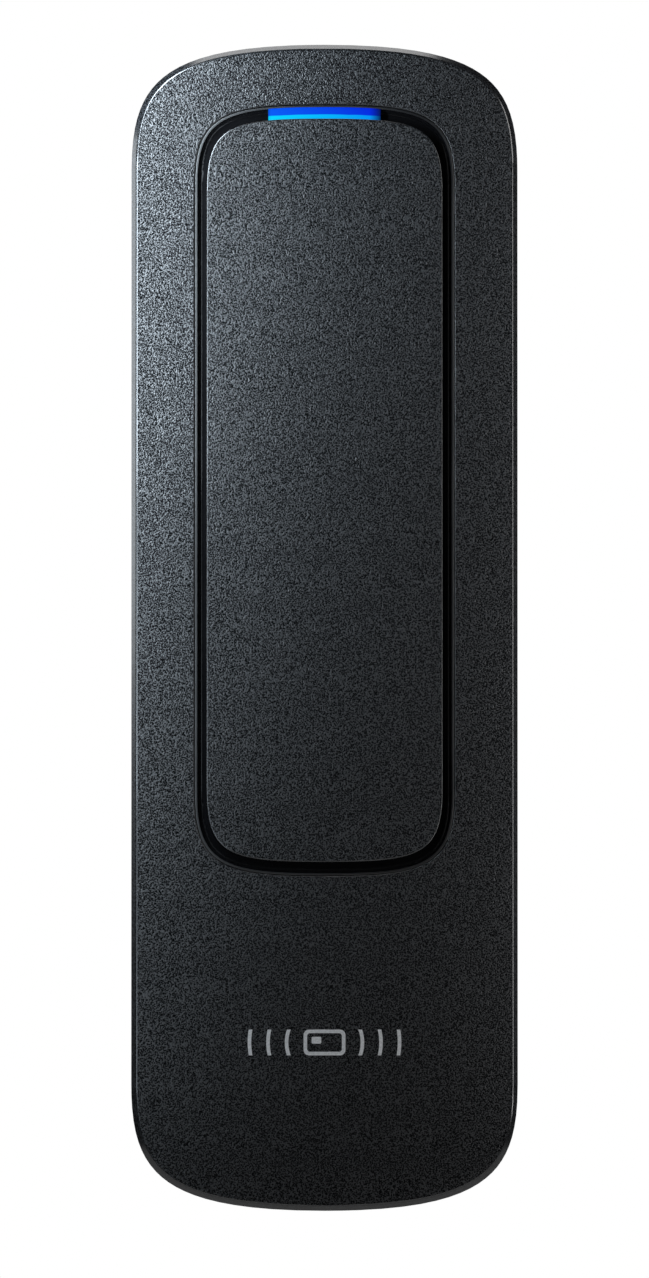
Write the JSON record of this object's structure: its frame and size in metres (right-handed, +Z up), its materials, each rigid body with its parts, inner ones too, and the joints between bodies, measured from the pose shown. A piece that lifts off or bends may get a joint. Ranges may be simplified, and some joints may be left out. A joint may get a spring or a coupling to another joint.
{
  "type": "contactless card reader",
  "caption": "Slim wedge-shaped wall reader with a framed centre panel, a light bar, a hook-on wall bracket and a locking screw at its foot.",
  "frame": {"origin": "centre of the wall bracket's flat back face, on the wall plane", "axes": "+Z up along the reader's length, +Y into the wall, +X to the right of a person facing the reader; the face points to -Y and leans back slightly"},
  "size_m": [0.048, 0.027, 0.1448],
  "materials": {
    "cover_plastic": "fine pebbled texture, smooth bevel at the rim",
    "channel_gloss": "polished",
    "panel_plastic": "fine pebbled texture",
    "adhesive_foam": "matte",
    "status_lens": "lit blue, clear",
    "light_guide": "clear",
    "white_plastic": "matte white",
    "led_package": "moulded",
    "symbol_ink": "pad print",
    "circuit_board": "solder mask",
    "copper_trace": "bare copper",
    "enamelled_wire": "enamelled",
    "former_plastic": "natural moulded",
    "ferrite": "dull",
    "screw_steel": "zinc plated",
    "chip_epoxy": "moulded epoxy with tinned leads",
    "crystal_can": "plated can",
    "capacitor_can": "sleeved can",
    "header_plastic": "natural moulded",
    "buzzer_plastic": "moulded",
    "membrane": "expanded film",
    "seal_rubber": "matte",
    "spring_steel": "bright wire",
    "plunger_plastic": "moulded",
    "switch_body": "moulded",
    "rear_plastic": "moulded",
    "bracket_plastic": "moulded",
    "blank_foil": "satin",
    "insert_brass": "knurled",
    "lock_screw_steel": "dark stainless"
  },
  "bodies": {
    "bracket": {"wall_bracket": "bracket_plastic", "bracket_insert": "insert_brass"},
    "reader": {"front_cover": "cover_plastic", "channel_insert": "channel_gloss", "centre_panel": "panel_plastic", "panel_adhesive": "adhesive_foam", "status_lens": "status_lens", "light_guide": "light_guide", "light_shroud": "white_plastic", "status_leds": "led_package", "card_symbol": "symbol_ink", "antenna_board": "circuit_board", "hf_antenna_loop": "copper_trace", "lf_antenna_coil": "enamelled_wire", "coil_former": "former_plastic", "ferrite_sheet": "ferrite", "main_board": "circuit_board", "board_screws": "screw_steel", "microcontroller": "chip_epoxy", "rf_transceiver": "chip_epoxy", "line_transceiver": "chip_epoxy", "crystal": "crystal_can", "power_inductor": "ferrite", "bulk_capacitors": "capacitor_can", "chip_passives": "ferrite", "wire_header": "header_plastic", "buzzer": "buzzer_plastic", "sound_membrane": "membrane", "tamper_switch": "switch_body", "tamper_spring": "spring_steel", "tamper_seal": "seal_rubber", "rear_cover": "rear_plastic", "rear_gasket": "seal_rubber", "cover_screws": "screw_steel", "cable_grommet": "seal_rubber", "rating_label": "blank_foil"},
    "screw_washer": {"lock_washer": "lock_screw_steel"},
    "lock_screw": {"lock_screw": "lock_screw_steel"},
    "tamper_plunger": {"tamper_plunger": "plunger_plastic", "switch_button": "plunger_plastic"}
  },
  "joints": [
    {"name": "reader_lift", "type": "slide", "parent": "bracket", "child": "reader", "axis": [0, 0, 1], "range_m": [0, 0.005]},
    {"name": "lock_screw_travel", "type": "slide", "parent": "reader", "child": "screw_washer", "axis": [0, 0, -1], "range_m": [0, 0.005]},
    {"name": "lock_screw_turn", "type": "hinge", "parent": "screw_washer", "child": "lock_screw", "pos_m": [0, -0.0068, -0.0707], "axis": [0, 0, -1], "range_deg": [0, 3600]},
    {"name": "tamper_press", "type": "slide", "parent": "reader", "child": "tamper_plunger", "axis": [0, 1, 0], "range_m": [0, 0.0016], "stiffness_N_per_m": 300, "springref_m": 0.0016, "deforming": ["tamper_spring"]}
  ],
  "couplings": [
    {"joint": "lock_screw_turn", "follows": "lock_screw_travel", "rad_per_m": 12566}
  ]
}
